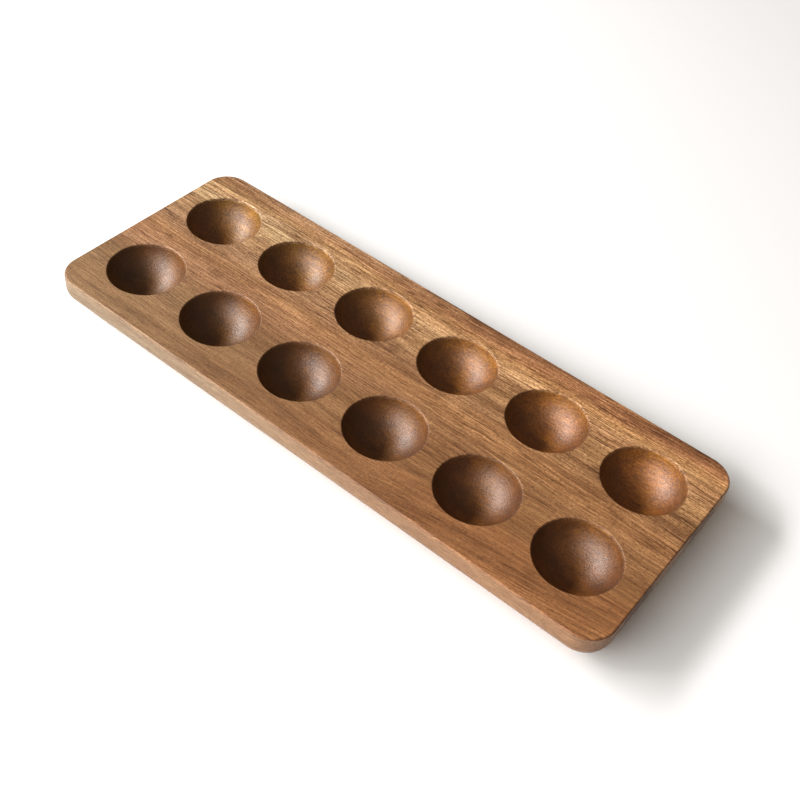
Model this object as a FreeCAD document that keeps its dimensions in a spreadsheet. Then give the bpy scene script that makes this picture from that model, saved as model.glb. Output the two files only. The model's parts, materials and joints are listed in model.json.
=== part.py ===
"""Egg holder tray: one hardwood board with a grid of ball-nosed bowls for eggs.

Frame: +Z up, origin on the table under the middle of the board, +X along the length.
Units are millimetres. The board is milled from one plank: sawn to a rounded rectangle,
bevelled all round underneath so that fingers can lift it, with the bevel blended into the
sides, bowled out with a round-nosed cutter, and sanded along every edge.
"""
import FreeCAD, Part
import math
import os
import Sketcher

DIMENSIONS = {
    "board_length": 300.0,
    "board_width": 115.0,
    "board_thickness": 20.0,
    "corner_radius": 12.5,
    "underside_bevel": 10.2,
    "bowl_rim_radius": 18.4,
    "bowl_depth": 15.0,
    "bowl_pitch_along": 48.4,
    "bowl_pitch_across": 51.9,
    "bowls_along": 6,
    "bowls_across": 2,
    "top_edge_easing": 0.9,
    "bowl_rim_easing": 0.7,
    "bevel_edge_rounding": 8.0,
    "base_edge_easing": 0.8,
}
EDGE_TOLERANCE = 0.01        # how near an edge lies to the height or radius it is picked by
VOLUME_TOLERANCE = 0.001     # share of the bowls' volume that the cut may differ by
SKETCH_ORIGIN = (-1, 1)      # the sketcher's own name for a sketch's origin point
SKETCH_VERTICAL_AXIS = -2    # and for its vertical axis
START, END, CENTRE = 1, 2, 3


def make_sheet(doc):
    """The driving dimensions, one per row: the name in column A, the value in column B."""
    sheet = doc.addObject("Spreadsheet::Sheet", "dimensions")
    for row, (alias, value) in enumerate(DIMENSIONS.items(), start=1):
        sheet.set(f"A{row}", alias)
        sheet.set(f"B{row}", str(value))
        sheet.setAlias(f"B{row}", alias)
    doc.recompute()
    return sheet


def origin_feature(body, role):
    """One of the body's own origin planes or axes, found by its role."""
    return next(item for item in body.Origin.OriginFeatures if item.Role == role)


def new_sketch(body, name, plane_role):
    """An empty sketch on one of the body's own origin planes."""
    sketch = body.newObject("Sketcher::SketchObject", name)
    sketch.AttachmentSupport = (origin_feature(body, plane_role), "")
    sketch.MapMode = "FlatFace"
    return sketch


def constrain(sketch, kind, *where):
    """Add one geometric constraint to a sketch."""
    sketch.addConstraint(Sketcher.Constraint(kind, *where))


def bind_size(sketch, kind, where, value, formula):
    """Add one dimension to a sketch and drive it from the sheet."""
    index = sketch.addConstraint(Sketcher.Constraint(kind, *where, value))
    sketch.setExpression(f"Constraints[{index}]", formula)


def draw_outline(body):
    """The board's rectangle, centred on the origin."""
    half_length = DIMENSIONS["board_length"] / 2
    half_width = DIMENSIONS["board_width"] / 2
    corners = [
        FreeCAD.Vector(-half_length, -half_width, 0),
        FreeCAD.Vector(half_length, -half_width, 0),
        FreeCAD.Vector(half_length, half_width, 0),
        FreeCAD.Vector(-half_length, half_width, 0),
    ]
    sketch = new_sketch(body, "outline", "XY_Plane")
    sides = range(len(corners))
    for side in sides:
        following = (side + 1) % len(corners)
        sketch.addGeometry(Part.LineSegment(corners[side], corners[following]))
    for side in sides:
        following = (side + 1) % len(corners)
        constrain(sketch, "Coincident", side, END, following, START)
        constrain(sketch, "Vertical" if side % 2 else "Horizontal", side)
    front, right = 0, 1
    constrain(sketch, "Symmetric", front, START, right, END, *SKETCH_ORIGIN)
    bind_size(sketch, "DistanceX", (front, START, front, END), half_length * 2, "dimensions.board_length")
    bind_size(sketch, "DistanceY", (right, START, right, END), half_width * 2, "dimensions.board_width")
    return sketch


def pad_board(body, outline):
    """The sawn plank."""
    plank = body.newObject("PartDesign::Pad", "plank")
    plank.Profile = outline
    plank.setExpression("Length", "dimensions.board_thickness")
    return plank


def edge_names(feature, chosen):
    """The names of the feature's edges that pass the test."""
    return [f"Edge{number}" for number, edge in enumerate(feature.Shape.Edges, start=1) if chosen(edge)]


def is_level(edge, height):
    """True for an edge that lies flat at one height."""
    return all(abs(vertex.Z - height) < EDGE_TOLERANCE for vertex in edge.Vertexes)


def is_upright(edge):
    """True for a straight edge that runs up and down."""
    first, last = edge.Vertexes[0].Point, edge.Vertexes[-1].Point
    return math.hypot(first.x - last.x, first.y - last.y) < EDGE_TOLERANCE < abs(first.z - last.z)


def is_bowl_rim(edge):
    """True for the circle where a bowl meets the top face."""
    if not is_level(edge, DIMENSIONS["board_thickness"]) or not isinstance(edge.Curve, Part.Circle):
        return False
    return abs(edge.Curve.Radius - DIMENSIONS["bowl_rim_radius"]) < EDGE_TOLERANCE


def dress_edges(body, kind, name, base, chosen, size_property, formula):
    """A fillet or chamfer on the chosen edges of the base feature."""
    dressed = body.newObject(kind, name)
    dressed.Base = (base, edge_names(base, chosen))
    dressed.setExpression(size_property, formula)
    body.Document.recompute()
    return dressed


def round_corners(body, plank):
    """The four upright corners, rounded."""
    return dress_edges(body, "PartDesign::Fillet", "rounded_corners", plank, is_upright,
                       "Radius", "dimensions.corner_radius")


def bevel_underside(body, plank):
    """The bevel round the underside, which leaves room for fingertips."""
    return dress_edges(body, "PartDesign::Chamfer", "finger_bevel", plank,
                       lambda edge: is_level(edge, 0.0), "Size", "dimensions.underside_bevel")


def draw_bowl(body):
    """Half the section of the first bowl: a ball's cap, drawn about the bowl's own axis."""
    top = DIMENSIONS["board_thickness"]
    depth = DIMENSIONS["bowl_depth"]
    rim_radius = DIMENSIONS["bowl_rim_radius"]
    ball_radius = (rim_radius ** 2 + depth ** 2) / (2 * depth)
    ball_height = top - depth + ball_radius
    rim_angle = -math.asin((ball_height - top) / ball_radius)
    floor = FreeCAD.Vector(0, top - depth, 0)
    middle = FreeCAD.Vector(0, top, 0)
    rim = FreeCAD.Vector(rim_radius, top, 0)
    ball = Part.Circle(FreeCAD.Vector(0, ball_height, 0), FreeCAD.Vector(0, 0, 1), ball_radius)

    sketch = new_sketch(body, "bowl_section", "XZ_Plane")
    axis_line = sketch.addGeometry(Part.LineSegment(floor, middle))
    top_line = sketch.addGeometry(Part.LineSegment(middle, rim))
    wall = sketch.addGeometry(Part.ArcOfCircle(ball, -math.pi / 2, rim_angle))
    constrain(sketch, "Coincident", axis_line, END, top_line, START)
    constrain(sketch, "Coincident", top_line, END, wall, END)
    constrain(sketch, "Coincident", wall, START, axis_line, START)
    constrain(sketch, "PointOnObject", axis_line, START, SKETCH_VERTICAL_AXIS)
    constrain(sketch, "PointOnObject", axis_line, END, SKETCH_VERTICAL_AXIS)
    constrain(sketch, "PointOnObject", wall, CENTRE, SKETCH_VERTICAL_AXIS)
    constrain(sketch, "Horizontal", top_line)
    bind_size(sketch, "DistanceX", (top_line, START, top_line, END), rim_radius,
              "dimensions.bowl_rim_radius")
    bind_size(sketch, "DistanceY", (axis_line, START, axis_line, END), depth, "dimensions.bowl_depth")
    bind_size(sketch, "DistanceY", (*SKETCH_ORIGIN, axis_line, END), top, "dimensions.board_thickness")
    sketch.setExpression("AttachmentOffset.Base.x",
                         "-dimensions.bowl_pitch_along * (dimensions.bowls_along - 1) / 2")
    sketch.setExpression("AttachmentOffset.Base.z",
                         "dimensions.bowl_pitch_across * (dimensions.bowls_across - 1) / 2")
    return sketch


def cut_first_bowl(body, section):
    """The first bowl, turned about its own upright axis."""
    bowl = body.newObject("PartDesign::Groove", "first_bowl")
    bowl.Profile = section
    bowl.ReferenceAxis = (section, ["V_Axis"])
    bowl.Angle = 360.0
    body.Document.recompute()
    return bowl


def repeat_along(body, name, axis_role, pitch, count):
    """One direction of the grid of bowls."""
    run = body.newObject("PartDesign::LinearPattern", name)
    run.Direction = (origin_feature(body, axis_role), [""])
    run.setExpression("Length", f"dimensions.{pitch} * (dimensions.{count} - 1)")
    run.setExpression("Occurrences", f"dimensions.{count}")
    return run


def repeat_bowls(body, bowl):
    """All the bowls: the first one repeated along the board and across it."""
    grid = body.newObject("PartDesign::MultiTransform", "bowl_grid")
    grid.Originals = [bowl]
    grid.Transformations = [
        repeat_along(body, "bowls_in_a_row", "X_Axis", "bowl_pitch_along", "bowls_along"),
        repeat_along(body, "rows_of_bowls", "Y_Axis", "bowl_pitch_across", "bowls_across"),
    ]
    body.Tip = grid
    body.Document.recompute()
    return grid


def check_bowls(before, after):
    """Stop if the grid didn't remove the volume that its balls' caps hold."""
    depth = DIMENSIONS["bowl_depth"]
    rim_radius = DIMENSIONS["bowl_rim_radius"]
    cap_volume = math.pi * depth * (3 * rim_radius ** 2 + depth ** 2) / 6
    expected = cap_volume * DIMENSIONS["bowls_along"] * DIMENSIONS["bowls_across"]
    removed = before.Shape.Volume - after.Shape.Volume
    if abs(removed - expected) > VOLUME_TOLERANCE * expected:
        raise RuntimeError(f"the bowls removed {removed:.1f} cubic mm, not {expected:.1f}")


def ease_edges(body, board):
    """The softened edges: bowl rims, top outline, and both edges of the underside bevel."""
    top = DIMENSIONS["board_thickness"]
    bevel = DIMENSIONS["underside_bevel"]
    fillet = "PartDesign::Fillet"
    board = dress_edges(body, fillet, "eased_bowl_rims", board, is_bowl_rim,
                        "Radius", "dimensions.bowl_rim_easing")
    board = dress_edges(body, fillet, "eased_top_edge", board,
                        lambda edge: is_level(edge, top) and is_outline(edge),
                        "Radius", "dimensions.top_edge_easing")
    board = dress_edges(body, fillet, "blended_bevel", board, lambda edge: is_level(edge, bevel),
                        "Radius", "dimensions.bevel_edge_rounding")
    return dress_edges(body, fillet, "eased_base_edge", board, lambda edge: is_level(edge, 0.0),
                       "Radius", "dimensions.base_edge_easing")


def is_outline(edge):
    """True for an edge on the board's outer outline rather than round a bowl."""
    middle = edge.valueAt((edge.FirstParameter + edge.LastParameter) / 2)
    side_gap = DIMENSIONS["board_width"] / 2 - abs(middle.y)
    end_gap = DIMENSIONS["board_length"] / 2 - abs(middle.x)
    return min(side_gap, end_gap) < DIMENSIONS["corner_radius"] / 2


def make_tray_board(doc):
    """The board, the only piece of the tray."""
    body = doc.addObject("PartDesign::Body", "tray_board")
    body.Label = "tray_board"
    board = pad_board(body, draw_outline(body))
    doc.recompute()
    board = round_corners(body, board)
    board = bevel_underside(body, board)
    bowl = cut_first_bowl(body, draw_bowl(body))
    grid = repeat_bowls(body, bowl)
    check_bowls(board, grid)
    board = ease_edges(body, grid)
    body.Tip = board
    body.Placement = FreeCAD.Placement()
    doc.recompute()
    return body


def check_document(doc, bodies):
    """Stop if any object failed to rebuild or any sub-part isn't one sound solid."""
    for item in doc.Objects:
        if "Invalid" in item.State or "Error" in item.State:
            raise RuntimeError(f"{item.Name} failed to rebuild: {item.State}")
    for body in bodies:
        shape = body.Shape
        if shape.isNull() or not shape.isValid() or len(shape.Solids) != 1:
            raise RuntimeError(f"{body.Label} isn't one sound solid")


def write_steps(bodies):
    """One STEP file for each sub-part, named after it."""
    os.makedirs("parts", exist_ok=True)
    for body in bodies:
        body.Shape.exportStep(os.path.join("parts", f"{body.Label}.step"))


def main():
    doc = FreeCAD.newDocument("egg_holder_tray")
    make_sheet(doc)
    bodies = [make_tray_board(doc)]
    check_document(doc, bodies)
    write_steps(bodies)


main()
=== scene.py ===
"""The egg holder tray's looks: a finely meshed board in oiled acacia, a pale floor, lights and a camera.

Lengths of the object are in metres, in the CAD frame: +Z up, origin on the floor under the middle of the
board, +X along its length. Places and sizes in the wood material are in millimetres of the same frame.
"""

import json
import math
from collections import namedtuple
from types import SimpleNamespace

import bmesh
import bpy
from mathutils import Matrix, Vector


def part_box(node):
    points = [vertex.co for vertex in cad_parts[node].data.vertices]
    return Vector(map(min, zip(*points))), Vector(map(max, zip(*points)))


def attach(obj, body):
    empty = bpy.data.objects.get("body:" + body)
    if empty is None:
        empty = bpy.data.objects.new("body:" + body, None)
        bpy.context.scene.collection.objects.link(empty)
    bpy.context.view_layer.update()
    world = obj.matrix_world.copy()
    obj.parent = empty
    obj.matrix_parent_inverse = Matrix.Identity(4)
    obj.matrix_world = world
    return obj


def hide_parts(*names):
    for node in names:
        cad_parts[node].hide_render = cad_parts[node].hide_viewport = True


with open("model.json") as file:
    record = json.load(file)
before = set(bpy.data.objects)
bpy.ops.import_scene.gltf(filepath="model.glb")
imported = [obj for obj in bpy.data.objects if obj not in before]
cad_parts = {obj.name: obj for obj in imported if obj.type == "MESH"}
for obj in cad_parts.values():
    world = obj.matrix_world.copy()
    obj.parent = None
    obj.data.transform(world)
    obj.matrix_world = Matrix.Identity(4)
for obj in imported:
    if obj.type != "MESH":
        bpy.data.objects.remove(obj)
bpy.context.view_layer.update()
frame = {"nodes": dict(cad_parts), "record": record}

NODE = "tray_board"
MM = 0.001

# Mesh density
SIDE_STEPS = 32             # edges along each side of the four-sided cell that surrounds a bowl
ROUNDED_STEPS = 14          # how many of those run round half of a board corner
APRON_STEPS = 3             # quads between a bowl's rim and its cell's sides
FILLET_STEPS = 4            # quads across each eased edge
WALL_STEPS = 3              # quads down the upright part of the board's side
ROUNDING_STEPS = 8          # quads across the rounded edge above the underside bevel
BEVEL_STEPS = 4             # quads across the bevel itself

BASE_EASING = 0.8 * MM      # radius of the sanded edge below the underside bevel
BEVEL_SLOPE = math.pi / 4   # the bevel's slope under the board
# How far a fillet on an edge of the bevel reaches from that edge, as a share of the fillet's radius
FILLET_REACH = math.tan(BEVEL_SLOPE / 2)

TOUCH = 0.002 * MM          # how near a point of the CAD mesh lies to the flat face that it's counted on
JOIN_DISTANCE = 0.001 * MM  # mesh vertices nearer than this are one


# ---------------------------------------------------------------- sizes, from the frame

def measure_board():
    """The board's sizes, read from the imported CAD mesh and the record's openings."""
    low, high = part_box(NODE)
    points = [vertex.co.copy() for vertex in frame["nodes"][NODE].data.vertices]
    end_face = [p for p in points if high.x - p.x < TOUCH]
    front_face = [p for p in points if p.y - low.y < TOUCH]
    base_face = [p for p in points if p.z - low.z < TOUCH]
    size = SimpleNamespace(low=low, high=high, half_length=high.x, half_width=high.y)
    size.corner_radius = high.y - max(p.y for p in end_face)
    size.top_easing = high.z - max(p.z for p in front_face)
    size.wall_bottom = min(p.z for p in front_face)
    size.base_inset = high.x - max(p.x for p in base_face)
    size.base_tangent = BASE_EASING * FILLET_REACH
    size.bevel = size.base_inset - size.base_tangent
    size.bevel_rounding = (size.wall_bottom - size.bevel) / FILLET_REACH
    openings = frame["record"]["physics"]["openings"]
    size.bowls = [measure_bowl(points, opening["box_m"], high.z) for opening in openings]
    return size


def measure_bowl(points, box, top):
    """One bowl, from the CAD points round its opening: its centre, top, floor, ball and eased rim."""
    low, high = Vector(box[0]), Vector(box[1])
    x, y = (low.x + high.x) / 2, (low.y + high.y) / 2
    reach = (high.x - low.x) / 2

    def distance(point):
        return math.hypot(point.x - x, point.y - y)

    wall = [p for p in points if distance(p) < reach and p.z < top - MM]
    floor = min(p.z for p in wall)
    outermost = max(wall, key=distance)
    rise = outermost.z - floor
    ball = (distance(outermost) ** 2 + rise ** 2) / (2 * rise)
    depth = top - floor
    rim = math.sqrt(depth * (2 * ball - depth))
    flat_from = min(distance(p) for p in points if top - p.z < TOUCH)
    easing = (flat_from ** 2 - rim ** 2) / (2 * depth)
    return SimpleNamespace(x=x, y=y, top=top, floor=floor, ball=ball, easing=easing, flat_from=flat_from)


# ---------------------------------------------------------------- the board's mesh

# The sides run anticlockwise, and each one faces the way that the side before it runs
SIDES = range(4)
FRONT, RIGHT, BACK, LEFT = SIDES
SIDE_DIRECTIONS = [Vector((1, 0, 0)), Vector((0, 1, 0)), Vector((-1, 0, 0)), Vector((0, -1, 0))]


class BoardMesh:
    """Collects grids of quads, with each vertex's true normal and a flat layout for each grid."""

    def __init__(self):
        self.mesh = bmesh.new()
        self.normals = self.mesh.verts.layers.float_vector.new("true_normal")
        self.layout = self.mesh.loops.layers.uv.new("OFBake")

    def add_grid(self, rows):
        """Rows of (position, normal, layout place), all of one length, joined into quads."""
        grid = []
        for row in rows:
            made = []
            for position, normal, place in row:
                vertex = self.mesh.verts.new(position)
                vertex[self.normals] = normal
                made.append((vertex, place))
            grid.append(made)
        for upper, lower in zip(grid, grid[1:]):
            for left in range(len(upper) - 1):
                self.add_quad([upper[left], upper[left + 1], lower[left + 1], lower[left]])

    def add_quad(self, corners):
        """One quad, wound so that it faces the way its vertices' normals point."""
        positions = [vertex.co for vertex, _ in corners]
        facing = (positions[2] - positions[0]).cross(positions[3] - positions[1])
        if facing.dot(corners[0][0][self.normals]) < 0:
            corners = corners[::-1]
        face = self.mesh.faces.new([vertex for vertex, _ in corners])
        face.smooth = True
        for loop, (_, place) in zip(face.loops, corners):
            loop[self.layout].uv = place

    def finish(self, name):
        """The joined mesh, shaded by its true normals."""
        bmesh.ops.remove_doubles(self.mesh, verts=self.mesh.verts, dist=JOIN_DISTANCE)
        normals = [vertex[self.normals].copy() for vertex in self.mesh.verts]
        data = bpy.data.meshes.new(name)
        self.mesh.to_mesh(data)
        self.mesh.free()
        data.attributes.remove(data.attributes["true_normal"])
        data.normals_split_custom_set_from_vertices(normals)
        return data


class Layout:
    """Where each part of the surface lies on the flat map that finishes are baked to.

    The top is at the bottom of the map, the sides are unrolled into three strips above it, and the
    base lies above those.
    """

    GAP = 2 * MM    # left free round each part

    def __init__(self, size, strip_height):
        self.size = size
        self.scale = 1 / (2 * size.half_length + 2 * self.GAP)
        self.strip_height = strip_height + self.GAP
        self.strips_from = 2 * size.half_width + 2 * self.GAP

    def place(self, across, up):
        return (across * self.scale, up * self.scale)

    def top(self, x, y):
        return self.place(x + self.size.half_length + self.GAP, y + self.size.half_width + self.GAP)

    def base(self, x, y):
        up = self.strips_from + 3 * self.strip_height + self.size.half_width - self.size.base_inset
        return self.place(x + self.size.half_length + self.GAP, y + up + self.GAP)

    def side(self, side, run, down):
        """A point on one of the board's sides, by its run along the side and its way down the section."""
        strip, start = {
            FRONT: (0, self.size.half_length),
            BACK: (1, self.size.half_length),
            RIGHT: (2, self.size.half_width),
            LEFT: (2, 3 * self.size.half_width + self.GAP),
        }[side]
        return self.place(run + start + self.GAP, self.strips_from + strip * self.strip_height + down)


def side_samples(cell, side, inset, size):
    """Points along one side of a cell, anticlockwise: (position at z = 0, outward normal, run).

    The run is measured along the board's side, from its middle. Where the cell's corner is a board
    corner, half of the rounded corner belongs to each side.
    """
    along = SIDE_DIRECTIONS[side]
    outward = SIDE_DIRECTIONS[side - 1]
    on_outline = cell.outer[side]
    starts_outside = cell.outer[side - 1]
    ends_outside = cell.outer[(side + 1) % 4]
    start, end = cell.reach(side - 1, along), cell.reach((side + 1) % 4, along)
    offset = cell.reach(side, outward) - (inset if on_outline else 0)
    rounding = size.corner_radius
    rounded = [step / ROUNDED_STEPS for step in range(ROUNDED_STEPS)]

    def straight(run):
        return along * run + outward * offset, outward, run

    def on_corner(share, direction):
        """A point on the rounded corner, from its middle (share 1) to its end (share 0)."""
        angle = share * math.pi / 4
        normal = outward * math.cos(angle) + along * (direction * math.sin(angle))
        limit = end if direction > 0 else start
        centre = along * (limit - direction * rounding) + outward * (offset + inset - rounding)
        run = limit - direction * rounding * (1 - angle)
        return centre + normal * (rounding - inset), normal, run

    def margin(outside):
        """How far the straight part stops short of an end of the side."""
        if not outside:
            return 0
        return rounding if on_outline else inset

    first = start + margin(starts_outside)
    last = end - margin(ends_outside)
    samples = []
    if on_outline and starts_outside:
        samples += [on_corner(1 - share, -1) for share in rounded]
    straight_steps = SIDE_STEPS - ROUNDED_STEPS * (on_outline and (starts_outside or ends_outside))
    for step in range(straight_steps + 1):
        samples.append(straight(first + (last - first) * step / straight_steps))
    if on_outline and ends_outside:
        samples += [on_corner(share, 1) for share in rounded[1:] + [1.0]]
    return samples


class Cell:
    """The four-sided patch of board round one bowl: its limits, and which of them are the board's own."""

    def __init__(self, bowl, low_x, high_x, low_y, high_y, size):
        self.bowl = bowl
        self.limits = [low_y, high_x, high_y, low_x]
        board = [-size.half_width, size.half_length, size.half_width, -size.half_length]
        self.outer = [abs(limit - edge) < MM for limit, edge in zip(self.limits, board)]

    def reach(self, side, direction):
        """How far along a direction the given side of the cell lies."""
        return self.limits[side] * (direction.x + direction.y)

    def outline(self, inset, size):
        """The closed loop of points round the cell, anticlockwise from its front left corner."""
        loop = []
        for side in SIDES:
            loop += side_samples(self, side, inset, size)[:-1]
        return loop


def make_cells(size):
    """One cell for each bowl; neighbours meet half way between their bowls."""
    columns = sorted({round(bowl.x, 6) for bowl in size.bowls})
    rows = sorted({round(bowl.y, 6) for bowl in size.bowls})
    splits_x = [-size.half_length] + [(a + b) / 2 for a, b in zip(columns, columns[1:])] + [size.half_length]
    splits_y = [-size.half_width] + [(a + b) / 2 for a, b in zip(rows, rows[1:])] + [size.half_width]
    cells = []
    for bowl in size.bowls:
        column = columns.index(round(bowl.x, 6))
        row = rows.index(round(bowl.y, 6))
        low_x, high_x = splits_x[column:column + 2]
        low_y, high_y = splits_y[row:row + 2]
        cells.append(Cell(bowl, low_x, high_x, low_y, high_y, size))
    return cells


def around(step):
    """Direction from a bowl's centre towards a step of its cell's outline; step 0 is the front left."""
    angle = math.radians(-135) + step * math.pi / 2 / SIDE_STEPS
    return Vector((math.cos(angle), math.sin(angle), 0))


def add_apron(board, cell, size, layout):
    """The flat top between the cell's outline and the bowl's eased rim."""
    bowl = cell.bowl
    centre = Vector((bowl.x, bowl.y, size.high.z))
    up = Vector((0, 0, 1))
    outline = [point for point, _, _ in cell.outline(size.top_easing, size)]
    outline.append(outline[0])
    rows = []
    for ring in range(APRON_STEPS + 1):
        share = ring / APRON_STEPS
        row = []
        for step, edge in enumerate(outline):
            edge = Vector((edge.x, edge.y, size.high.z))
            point = edge.lerp(centre + around(step) * bowl.flat_from, share)
            row.append((point, up, layout.top(point.x, point.y)))
        rows.append(row)
    board.add_grid(rows)


def add_rim(board, bowl, layout):
    """The sanded edge that rolls from the top face into the bowl. Gives the angle that it turns through."""
    centre = Vector((bowl.x, bowl.y, 0))
    ball_height = bowl.floor + bowl.ball
    drop = bowl.easing + ball_height - bowl.top
    turn = math.pi / 2 - math.atan2(drop, bowl.flat_from)
    rows = []
    for ring in range(FILLET_STEPS + 1):
        angle = turn * ring / FILLET_STEPS
        radius = bowl.flat_from - bowl.easing * math.sin(angle)
        height = bowl.top - bowl.easing * (1 - math.cos(angle))
        row = []
        for step in range(4 * SIDE_STEPS + 1):
            direction = around(step)
            point = centre + direction * radius + Vector((0, 0, height))
            normal = direction * -math.sin(angle) + Vector((0, 0, math.cos(angle)))
            row.append((point, normal, layout.top(point.x, point.y)))
        rows.append(row)
    board.add_grid(rows)
    return turn


def add_ball(board, bowl, widest, layout):
    """The bowl's ball-shaped wall, as a square grid wrapped on to the ball, out to the angle widest."""
    centre = Vector((bowl.x, bowl.y, bowl.floor + bowl.ball))
    rows = []
    for j in range(SIDE_STEPS + 1):
        row = []
        for i in range(SIDE_STEPS + 1):
            share, angle = wrap_square(2 * i / SIDE_STEPS - 1, 2 * j / SIDE_STEPS - 1)
            polar = share * widest
            level = math.sin(polar)
            inward = Vector((-level * math.cos(angle), -level * math.sin(angle), math.cos(polar)))
            point = centre - inward * bowl.ball
            row.append((point, inward, layout.top(point.x, point.y)))
        rows.append(row)
    board.add_grid(rows)


def wrap_square(u, v):
    """Maps a square, from -1 to 1, on to a disc, so that concentric squares turn into circles.

    Gives the place on the disc as (radius, angle).
    """
    if abs(u) < 1e-9 and abs(v) < 1e-9:
        return 0.0, 0.0
    if abs(u) > abs(v):
        return abs(u), math.pi / 4 * (v / u) + (math.pi if u < 0 else 0)
    return abs(v), math.pi / 2 - math.pi / 4 * (u / v) + (math.pi if v < 0 else 0)


def side_profile(size):
    """The section of the board's side, from the top face down to the base.

    Each place on it is (inset, height, the normal's outward part, its upward part, way down the section).
    """
    level, upright, slanted, down = math.pi / 2, 0, -BEVEL_SLOPE, -math.pi / 2
    profile = []

    def add_fillet(steps, centre_inset, centre_height, radius, first_angle, last_angle):
        for step in range(steps + 1):
            angle = first_angle + (last_angle - first_angle) * step / steps
            out, up = math.cos(angle), math.sin(angle)
            profile.append((centre_inset - radius * out, centre_height + radius * up, out, up))

    def add_straight(steps, last_inset, last_height):
        inset, height, out, up = profile[-1]
        for step in range(1, steps):
            share = step / steps
            new_inset = inset + (last_inset - inset) * share
            new_height = height + (last_height - height) * share
            profile.append((new_inset, new_height, out, up))

    add_fillet(FILLET_STEPS, size.top_easing, size.high.z - size.top_easing, size.top_easing, level, upright)
    add_straight(WALL_STEPS, 0, size.wall_bottom)
    add_fillet(ROUNDING_STEPS, size.bevel_rounding, size.wall_bottom, size.bevel_rounding, upright, slanted)
    bevel_end = size.base_tangent * math.cos(slanted)
    add_straight(BEVEL_STEPS, size.bevel - bevel_end, bevel_end)
    add_fillet(FILLET_STEPS, size.base_inset, BASE_EASING, BASE_EASING, slanted, down)
    way = 0.0
    ways = [way]
    for before, after in zip(profile, profile[1:]):
        way += math.hypot(after[0] - before[0], after[1] - before[1])
        ways.append(way)
    return [(*section, way) for section, way in zip(profile, ways)]


def add_sides(board, cell, size, profile, layout):
    """The parts of the board's sides that belong to one cell."""
    for side in SIDES:
        if not cell.outer[side]:
            continue
        rows = []
        for inset, height, out, up, way in profile:
            row = []
            for point, outward, run in side_samples(cell, side, inset, size):
                position = Vector((point.x, point.y, height))
                normal = outward * out + Vector((0, 0, up))
                row.append((position, normal, layout.side(side, run, way)))
            rows.append(row)
        board.add_grid(rows)


def add_base(board, cell, size, layout):
    """The flat underside of one cell, filled between its four sides."""
    edges = [[point for point, _, _ in side_samples(cell, side, size.base_inset, size)] for side in SIDES]
    front, right, back, left = edges[FRONT], edges[RIGHT], edges[BACK][::-1], edges[LEFT][::-1]
    down = Vector((0, 0, -1))
    rows = []
    for j in range(SIDE_STEPS + 1):
        v = j / SIDE_STEPS
        row = []
        for i in range(SIDE_STEPS + 1):
            u = i / SIDE_STEPS
            between_rows = front[i].lerp(back[i], v) + left[j].lerp(right[j], u)
            point = between_rows - front[0].lerp(front[-1], u).lerp(back[0].lerp(back[-1], u), v)
            point = Vector((point.x, point.y, size.low.z))
            row.append((point, down, layout.base(point.x, point.y)))
        rows.append(row)
    board.add_grid(rows)


def make_board(size):
    """The whole board as one closed mesh."""
    board = BoardMesh()
    profile = side_profile(size)
    layout = Layout(size, strip_height=profile[-1][-1])
    for cell in make_cells(size):
        add_apron(board, cell, size, layout)
        widest = add_rim(board, cell.bowl, layout)
        add_ball(board, cell.bowl, widest, layout)
        add_sides(board, cell, size, profile, layout)
        add_base(board, cell, size, layout)
    piece = bpy.data.objects.new("board", board.finish("board"))
    bpy.context.scene.collection.objects.link(piece)
    return piece


# ---------------------------------------------------------------- shader nodes

def srgb(red, green, blue):
    """A colour given as the eye reads it, from 0 to 255, turned into the linear values that shaders use."""
    def linear(level):
        share = level / 255
        return share / 12.92 if share <= 0.04045 else ((share + 0.055) / 1.055) ** 2.4
    return (linear(red), linear(green), linear(blue), 1.0)


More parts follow.
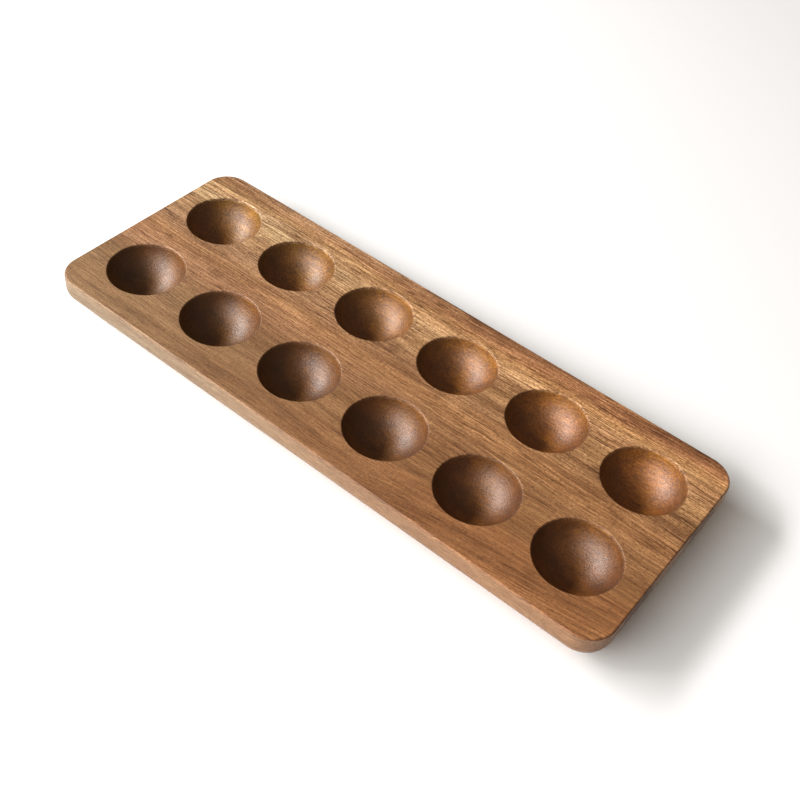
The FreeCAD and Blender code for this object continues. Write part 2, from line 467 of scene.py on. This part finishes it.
class Shading:
    """Short names for the shader nodes that the materials are made of."""

    def __init__(self, name):
        self.material = bpy.data.materials.new(name)
        self.material.use_nodes = True
        self.tree = self.material.node_tree
        self.tree.nodes.clear()

    def node(self, kind, inputs=(), **settings):
        """A node with its settings, and its inputs given as values or as other nodes' outputs."""
        made = self.tree.nodes.new(kind)
        for name, value in settings.items():
            setattr(made, name, value)
        for name, value in dict(inputs).items():
            if isinstance(value, bpy.types.NodeSocket):
                self.tree.links.new(value, made.inputs[name])
            else:
                made.inputs[name].default_value = value
        return made

    def calc(self, operation, first, second=0.0, third=0.0):
        inputs = {0: first, 1: second, 2: third}
        return self.node("ShaderNodeMath", inputs, operation=operation).outputs[0]

    def add(self, first, second):
        return self.calc("ADD", first, second)

    def times(self, first, second):
        return self.calc("MULTIPLY", first, second)

    def between(self, factor, at_zero, at_one):
        """A number that runs from at_zero to at_one as the factor goes from 0 to 1."""
        return self.calc("MULTIPLY_ADD", factor, at_one - at_zero, at_zero)

    def fade(self, value, start, end):
        """0 before start, 1 past end, smooth between; start may be above end."""
        low, high = (start, end) if start < end else (end, start)
        at_low, at_high = (0.0, 1.0) if start < end else (1.0, 0.0)
        inputs = {"Value": value, "From Min": low, "From Max": high, "To Min": at_low, "To Max": at_high}
        return self.node("ShaderNodeMapRange", inputs, interpolation_type="SMOOTHSTEP").outputs["Result"]

    def vector(self, x, y, z):
        return self.node("ShaderNodeCombineXYZ", {"X": x, "Y": y, "Z": z}).outputs[0]

    def noise(self, place, detail=2.0, roughness=0.5):
        """Smooth noise about one unit across, from 0 to 1."""
        inputs = {"Vector": place, "Scale": 1.0, "Detail": detail, "Roughness": roughness}
        return self.node("ShaderNodeTexNoise", inputs, noise_dimensions="3D").outputs[0]

    def swing(self, place, size, detail=2.0, roughness=0.5):
        """Noise centred on 0 that swings about size / 2 either way."""
        return self.times(self.add(self.noise(place, detail, roughness), -0.5), size)

    def ramp(self, factor, stops):
        """A colour ramp from (position, colour) pairs."""
        node = self.node("ShaderNodeValToRGB", {"Fac": factor})
        ramp = node.color_ramp
        while len(ramp.elements) < len(stops):
            ramp.elements.new(1.0)
        for element, (position, colour) in zip(ramp.elements, stops):
            element.position = position
            element.color = colour
        return node.outputs["Color"]

    def mix(self, factor, first, second, blend="MIX"):
        """Two colours blended; the node's inputs 6 and 7 and its output 2 are its colours."""
        inputs = {0: factor, 6: first, 7: second}
        return self.node("ShaderNodeMix", inputs, data_type="RGBA", blend_type=blend).outputs[2]

    def tint(self, colour, tint):
        """Two colours multiplied."""
        return self.mix(1.0, colour, tint, blend="MULTIPLY")

    def brighten(self, colour, factor):
        """The colour multiplied by a number."""
        return self.node("ShaderNodeVectorMath", {0: colour, "Scale": factor}, operation="SCALE").outputs[0]


# ---------------------------------------------------------------- oiled acacia

# The plank's colour bands, from the front edge to the back: where each lies across the plank, in mm,
# and its colour at the board's left and right ends
Band = namedtuple("Band", "across left right")
BANDS = [
    Band(-44, left=(145, 110, 75), right=(150, 100, 60)),
    Band(-36, left=(150, 115, 80), right=(145, 100, 60)),
    Band(-26, left=(140, 105, 70), right=(145, 100, 60)),
    Band(-10, left=(165, 120, 85), right=(155, 110, 70)),
    Band(2, left=(165, 120, 80), right=(175, 125, 80)),
    Band(12, left=(170, 130, 95), right=(160, 115, 75)),
    Band(26, left=(170, 130, 90), right=(175, 130, 85)),
    Band(37, left=(205, 170, 125), right=(195, 145, 100)),
    Band(44, left=(200, 155, 110), right=(195, 145, 95)),
    Band(47, left=(175, 135, 90), right=(195, 140, 90)),
    Band(51, left=(170, 125, 85), right=(175, 120, 80)),
    Band(57, left=(170, 130, 95), right=(160, 110, 70)),
]
SAPWOOD_COLOUR = (224, 190, 148)

# Darker mineral streaks: the middle and half extents of each in mm, and how far it darkens the wood
Streak = namedtuple("Streak", "x y half_length half_width strength")
STREAKS = [
    Streak(92, -13, half_length=15, half_width=2.0, strength=0.38),
    Streak(55, 8, half_length=24, half_width=1.8, strength=0.28),
    Streak(-20, 14, half_length=34, half_width=1.1, strength=0.22),
    Streak(-128, 5, half_length=22, half_width=1.2, strength=0.20),
    Streak(128, -46, half_length=30, half_width=2.2, strength=0.16),
    Streak(-20, 53, half_length=70, half_width=1.3, strength=0.18),
    Streak(55, 55, half_length=40, half_width=1.2, strength=0.26),
    Streak(106, 32, half_length=26, half_width=1.0, strength=0.22),
    Streak(-74, -13, half_length=18, half_width=1.2, strength=0.22),
    Streak(-100, -43, half_length=50, half_width=1.0, strength=0.14),
]

# What the wood's red, green and blue are multiplied by
OIL_AND_SHADE_TINT = (0.56, 0.41, 0.095, 1.0)     # in the bowls, darker: partly end grain that takes up oil, partly painted shade of the hollows
HEART_TINT = (1.0, 0.92, 1.10, 1.0)     # as well, deep down in the back row's bowls
DRY_AND_SHEEN_TINT = (0.98, 1.19, 1.50, 1.0)      # on the board's sides, paler and greyer: partly drier wood, partly a painted sheen of the white floor

CUTTER_RING_PITCH = 0.9     # mm between the faint rings that the cutter leaves in a bowl
BUMP_HEIGHT = 0.06 * MM


class Wood:
    """Places in the plank, in mm, that the wood's colour and relief are drawn from."""

    def __init__(self, shade, size):
        self.shade = shade
        place = shade.node("ShaderNodeTexCoord").outputs["Object"]
        split = shade.node("ShaderNodeSeparateXYZ", {0: place})
        self.x, self.y, self.z = [shade.times(split.outputs[axis], 1 / MM) for axis in range(3)]
        self.depth = shade.calc("SUBTRACT", size.high.z / MM, self.z)
        normal = shade.node("ShaderNodeNewGeometry").outputs["Normal"]
        facing_x, _, facing_up = shade.node("ShaderNodeSeparateXYZ", {0: normal}).outputs
        self.end_grain = shade.calc("ABSOLUTE", facing_x)
        self.from_bowl = self.distance_from_bowl(size)
        near_bowl = shade.fade(self.from_bowl, 24, 21)
        below_rim = shade.times(shade.fade(self.depth, 0.3, 1.8), shade.fade(facing_up, 0.02, 0.12))
        self.in_bowl = shade.times(near_bowl, below_rim)
        self.on_side = shade.times(shade.calc("SUBTRACT", 1.0, near_bowl), shade.fade(facing_up, 0.6, 0.0))
        self.across = self.across_the_grain()
        self.pores = self.dashes(0.22, 4.2, 0.60, 0.10)
        self.fibres = shade.noise(self.spot(0.05, 1.6), 3.0, 0.6)

    def distance_from_bowl(self, size):
        """Distance on plan from the middle of the nearest bowl; the rows lie evenly about the middle."""
        shade = self.shade
        columns = sorted({round(bowl.x / MM, 3) for bowl in size.bowls})
        pitch = columns[1] - columns[0]
        along = shade.calc("WRAP", shade.add(self.x, -columns[0]), pitch / 2, -pitch / 2)
        sideways = shade.add(shade.calc("ABSOLUTE", self.y), -abs(size.bowls[0].y) / MM)
        return shade.calc("SQRT", shade.add(shade.times(along, along), shade.times(sideways, sideways)))

    def across_the_grain(self):
        """Place across the plank, followed along the wavy grain.

        The grain lifts towards the front right corner.
        """
        shade = self.shade
        wave = shade.swing(self.spot(1 / 90, 1 / 45, self.y), 5.0)
        ripple = shade.swing(self.spot(1 / 22, 1 / 9, self.y), 1.3)
        right_of_middle = shade.calc("MAXIMUM", shade.add(self.x, -10), 0.0)
        lift = shade.times(shade.times(right_of_middle, 0.12), shade.fade(self.y, -18, -48))
        return shade.calc("SUBTRACT", shade.add(shade.add(self.y, wave), ripple), lift)

    def spot(self, along, sideways, across=None):
        """A place for noise to be read at, with its scales along and across the grain in cycles per mm."""
        shade = self.shade
        across = self.across if across is None else across
        x = shade.times(self.x, along)
        y = shade.times(across, sideways)
        return shade.vector(x, y, shade.times(self.z, sideways))

    def figure(self, along, sideways, contrast, detail=2.0, roughness=0.5):
        """A brightness near 1 that varies with noise, drawn out along the grain.

        It dips to about 1 divided by the contrast, and rises less far than it dips.
        """
        swing = self.shade.swing(self.spot(along, sideways), 2.0, detail, roughness)
        gentle = self.shade.times(swing, 0.4)
        return self.shade.calc("POWER", contrast, self.shade.calc("MINIMUM", swing, gentle))

    def dashes(self, along, sideways, threshold, softness):
        """Scattered fine dark dashes along the grain, from 0 to 1."""
        noise = self.shade.noise(self.spot(along, sideways), 2.0, 0.45)
        return self.shade.fade(noise, threshold, threshold + softness)


def banded_colour(wood):
    """The plank's slow colour changes, across it and from its left end to its right."""
    shade = wood.shade
    first = BANDS[0].across
    reach = BANDS[-1].across - first
    factor = shade.calc("MULTIPLY_ADD", wood.across, 1 / reach, -first / reach)
    left = shade.ramp(factor, [((band.across - first) / reach, srgb(*band.left)) for band in BANDS])
    right = shade.ramp(factor, [((band.across - first) / reach, srgb(*band.right)) for band in BANDS])
    return shade.mix(shade.fade(wood.x, -130, 110), left, right)


def cream_sapwood(wood, colour):
    """The pale sapwood that runs in from the back left corner, only near the top face."""
    shade = wood.shade
    along = shade.fade(wood.x, -40, -110)
    strip = shade.times(shade.fade(wood.across, 32, 38), shade.fade(wood.across, 47.5, 43.5))
    patchy = shade.fade(shade.noise(wood.spot(1 / 30, 1 / 6), 2.0), 0.30, 0.62)
    shallow = shade.fade(wood.depth, 8, 1)
    amount = shade.times(shade.times(along, strip), shade.times(patchy, shallow))
    return shade.mix(shade.times(amount, 0.8), colour, srgb(*SAPWOOD_COLOUR))


def streak_shadow(wood, streak):
    """How strongly one mineral streak darkens a place."""
    shade = wood.shade
    along = shade.calc("ABSOLUTE", shade.times(shade.add(wood.x, -streak.x), 1 / streak.half_length))
    sideways = shade.calc("ABSOLUTE", shade.times(shade.add(wood.across, -streak.y), 1 / streak.half_width))
    reach = shade.times(shade.fade(along, 1.0, 0.2), shade.fade(sideways, 1.0, 0.1))
    return shade.times(reach, streak.strength)


def wood_tone(wood):
    """How light the wood is, from its slow figure down to its finest fibres."""
    shade = wood.shade
    layers = [
        wood.figure(0.012, 0.11, contrast=1.8),                 # broad bands
        wood.figure(0.022, 0.38, contrast=2.0),                 # growth rings
        wood.figure(0.025, 1.5, contrast=3.0, detail=1.0),      # long fine lines
        wood.figure(0.12, 1.8, contrast=2.8, detail=1.0),       # short fine lines
        wood.figure(0.75, 2.2, contrast=3.4, detail=1.0),       # flecks
        wood.figure(0.055, 0.06, contrast=1.2),                 # soft clouds
    ]
    tone = layers[0]
    for layer in layers[1:]:
        tone = shade.times(tone, layer)
    clusters = shade.fade(shade.noise(wood.spot(0.014, 0.13), 2.0), 0.40, 0.62)
    dashes = shade.times(wood.dashes(0.11, 2.0, 0.53, 0.10), clusters)
    lines = wood.dashes(0.040, 3.0, 0.55, 0.10)
    tone = shade.times(tone, shade.between(dashes, 1.0, 0.55))
    tone = shade.times(tone, shade.between(lines, 1.0, 0.78))
    bolder_at_back = shade.between(shade.fade(wood.y, -50, 50), 0.9, 1.6)
    tone = shade.calc("POWER", tone, bolder_at_back)
    for streak in STREAKS:
        tone = shade.times(tone, shade.calc("SUBTRACT", 1.0, streak_shadow(wood, streak)))
    return tone


def plank_colour(wood):
    """The wood's own colour, with its grain, which is calmer in the bowls and on the board's sides."""
    shade = wood.shade
    tone = shade.times(wood_tone(wood), shade.between(wood.pores, 1.0, 0.70))
    calm = shade.add(shade.times(wood.in_bowl, 0.5), shade.times(wood.on_side, 0.4))
    tone = shade.calc("POWER", tone, shade.calc("SUBTRACT", 1.0, calm))
    end_shade = shade.between(wood.on_side, -0.68, -0.30)
    tone = shade.times(tone, shade.calc("MULTIPLY_ADD", wood.end_grain, end_shade, 1.0))
    warmth = shade.swing(wood.spot(0.012, 0.30), 0.20)
    red = shade.calc("POWER", tone, 0.84)
    green = shade.times(tone, shade.calc("SUBTRACT", 1.0, shade.times(warmth, 0.5)))
    blue = shade.times(shade.calc("POWER", tone, 1.15), shade.calc("SUBTRACT", 1.0, warmth))
    return shade.tint(cream_sapwood(wood, banded_colour(wood)), shade.vector(red, green, blue))


def bowl_colour(wood, colour):
    """The softly blotched wood in the bowls, darkened both as oil-soaked end grain and by painted shade, a
    little paler at the board's right end.
    """
    shade = wood.shade
    blotches = shade.calc("POWER", 1.8, shade.swing(wood.spot(0.10, 0.16), 2.0))
    paler_right = shade.between(shade.fade(wood.x, -40, 120), 1.0, 1.22)
    # painted shade: this tint holds the bowls' shade as well as their oil-darkened end grain
    colour = shade.brighten(shade.tint(colour, OIL_AND_SHADE_TINT), shade.times(blotches, paler_right))
    heart = shade.times(shade.fade(wood.depth, 1, 9), shade.fade(wood.y, 0, 22))
    return shade.mix(heart, colour, shade.tint(colour, HEART_TINT))


def wood_relief(wood):
    """How high the surface stands: fibres and pores, and in the bowls what the cutter left."""
    shade = wood.shade
    relief = shade.add(shade.times(wood.fibres, 0.30), shade.times(wood.pores, -0.6))
    stipple = shade.noise(shade.vector(wood.x, wood.y, wood.z), 3.0, 0.6)
    cutter_rings = shade.calc("SINE", shade.times(wood.from_bowl, 2 * math.pi / CUTTER_RING_PITCH))
    in_bowl_relief = shade.add(shade.times(stipple, 5.5), shade.times(cutter_rings, 0.035))
    return shade.add(relief, shade.times(in_bowl_relief, wood.in_bowl))


def oiled_acacia(size):
    """Flat-sawn acacia with an oiled, satin finish. The grain is solid: it runs through the whole plank."""
    shade = Shading("oiled_acacia")
    wood = Wood(shade, size)
    colour = plank_colour(wood)
    # the bowls' colour carries painted shade as well as oil-darkened end grain
    colour = shade.mix(wood.in_bowl, colour, bowl_colour(wood, colour))
    # painted sheen: the sides are paled partly to stand for the white floor's reflection
    colour = shade.mix(wood.on_side, colour, shade.tint(colour, DRY_AND_SHEEN_TINT))
    roughness = shade.add(shade.between(wood.fibres, 0.42, 0.58), shade.times(wood.pores, 0.10))
    roughness = shade.add(roughness, shade.times(wood.in_bowl, -0.04))
    bump = shade.node("ShaderNodeBump", {
        "Height": wood_relief(wood), "Strength": 0.6, "Distance": BUMP_HEIGHT})
    surface = shade.node("ShaderNodeBsdfPrincipled", {
        "Base Color": colour, "Roughness": roughness, "Normal": bump.outputs[0], "IOR": 1.5,
        "Specular IOR Level": shade.between(wood.in_bowl, 0.50, 0.75)})
    shade.node("ShaderNodeOutputMaterial", {"Surface": surface.outputs[0]})
    return shade.material


# ---------------------------------------------------------------- stage

BACKDROP_BRIGHTNESS = 0.85
FLOOR_SIZE = 8.0
FLOOR_FADES_FROM, FLOOR_GONE_BY = 0.35, 1.3     # distances from the board's middle
FLOOR_PAINT = (0.94, 0.94, 0.94, 1.0)
ROOM_COLOUR = (1.0, 0.86, 0.70, 1.0)
ROOM_BRIGHTNESS = 0.19


def pale_floor():
    """A plain pale floor. Far from the board it fades into the backdrop, as on a studio sweep."""
    bpy.ops.mesh.primitive_plane_add(size=FLOOR_SIZE, location=(0, 0, 0))
    floor = bpy.context.object
    floor.name = "floor"
    shade = Shading("pale_floor")
    place = shade.node("ShaderNodeTexCoord").outputs["Object"]
    distance = shade.node("ShaderNodeVectorMath", {0: place}, operation="LENGTH").outputs["Value"]
    camera_ray = shade.node("ShaderNodeLightPath").outputs["Is Camera Ray"]
    faded = shade.times(shade.fade(distance, FLOOR_FADES_FROM, FLOOR_GONE_BY), camera_ray)
    paint = shade.node("ShaderNodeBsdfPrincipled", {"Base Color": FLOOR_PAINT, "Roughness": 0.9})
    backdrop = shade.node("ShaderNodeEmission", {"Strength": BACKDROP_BRIGHTNESS})
    surface = shade.node("ShaderNodeMixShader", {0: faded, 1: paint.outputs[0], 2: backdrop.outputs[0]})
    shade.node("ShaderNodeOutputMaterial", {"Surface": surface.outputs[0]})
    floor.data.materials.append(shade.material)


def direction_to(azimuth, elevation):
    """Unit vector towards an azimuth (0 is the front, 90 the right end) and elevation, in degrees."""
    turn, rise = math.radians(azimuth), math.radians(elevation)
    return Vector((math.sin(turn) * math.cos(rise), -math.cos(turn) * math.cos(rise), math.sin(rise)))


def softbox(name, azimuth, elevation, distance, width, height, power):
    """A rectangular light that faces the middle of the board."""
    light = bpy.data.lights.new(name, "AREA")
    light.shape = "RECTANGLE"
    light.size = width
    light.size_y = height
    light.energy = power
    lamp = bpy.data.objects.new(name, light)
    towards = direction_to(azimuth, elevation)
    lamp.location = towards * distance
    lamp.rotation_euler = towards.to_track_quat("Z", "Y").to_euler()
    bpy.context.scene.collection.objects.link(lamp)


def room_light():
    """The room's dim, slightly warm light from all round. The camera sees a plain pale backdrop instead."""
    world = bpy.data.worlds.new("studio")
    world.use_nodes = True
    nodes = world.node_tree.nodes
    links = world.node_tree.links
    room = nodes["Background"]
    room.inputs["Color"].default_value = ROOM_COLOUR
    room.inputs["Strength"].default_value = ROOM_BRIGHTNESS
    backdrop = nodes.new("ShaderNodeBackground")
    backdrop.inputs["Color"].default_value = (1.0, 1.0, 1.0, 1.0)
    backdrop.inputs["Strength"].default_value = BACKDROP_BRIGHTNESS
    either = nodes.new("ShaderNodeMixShader")
    rays = nodes.new("ShaderNodeLightPath")
    links.new(rays.outputs["Is Camera Ray"], either.inputs[0])
    links.new(room.outputs[0], either.inputs[1])
    links.new(backdrop.outputs[0], either.inputs[2])
    links.new(either.outputs[0], nodes["World Output"].inputs["Surface"])
    bpy.context.scene.world = world


def studio_light():
    """Two soft lights from the left and the front, and the dim light of the room."""
    room_light()
    softbox("key", azimuth=-68, elevation=35, distance=1.6, width=1.2, height=0.25, power=31)
    softbox("window", azimuth=-20, elevation=32, distance=2.0, width=2.0, height=0.8, power=44)


CAMERA_AZIMUTH, CAMERA_ELEVATION, CAMERA_ROLL = 34.18, 45.66, 7.03      # degrees
CAMERA_DISTANCE = 0.519                     # from the middle of the board
CAMERA_LENS, CAMERA_SENSOR = 51.97, 36      # mm
CAMERA_SHIFT = (0.0280, -0.0208)            # shares of the frame's width


def place_camera(size):
    """The camera looks down on the board from the front right, a little rolled."""
    data = bpy.data.cameras.new("camera")
    data.lens = CAMERA_LENS
    data.sensor_width = CAMERA_SENSOR
    data.shift_x, data.shift_y = CAMERA_SHIFT
    data.clip_start = 0.01
    camera = bpy.data.objects.new("camera", data)
    bpy.context.scene.collection.objects.link(camera)
    target = Vector((0, 0, size.high.z / 2))
    back = direction_to(CAMERA_AZIMUTH, CAMERA_ELEVATION)
    right = Vector((0, 0, 1)).cross(back).normalized()
    up = back.cross(right)
    turn = Matrix.Rotation(math.radians(CAMERA_ROLL), 3, back)
    rotation = (turn @ Matrix((right, up, back)).transposed()).to_4x4()
    camera.matrix_world = Matrix.Translation(target + back * CAMERA_DISTANCE) @ rotation
    bpy.context.scene.camera = camera


# ---------------------------------------------------------------- the scene


board_size = measure_board()
board = make_board(board_size)
board.data.materials.append(oiled_acacia(board_size))
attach(board, "root")
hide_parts(NODE)
pale_floor()
studio_light()
place_camera(board_size)
bpy.context.scene.view_settings.view_transform = "Standard"
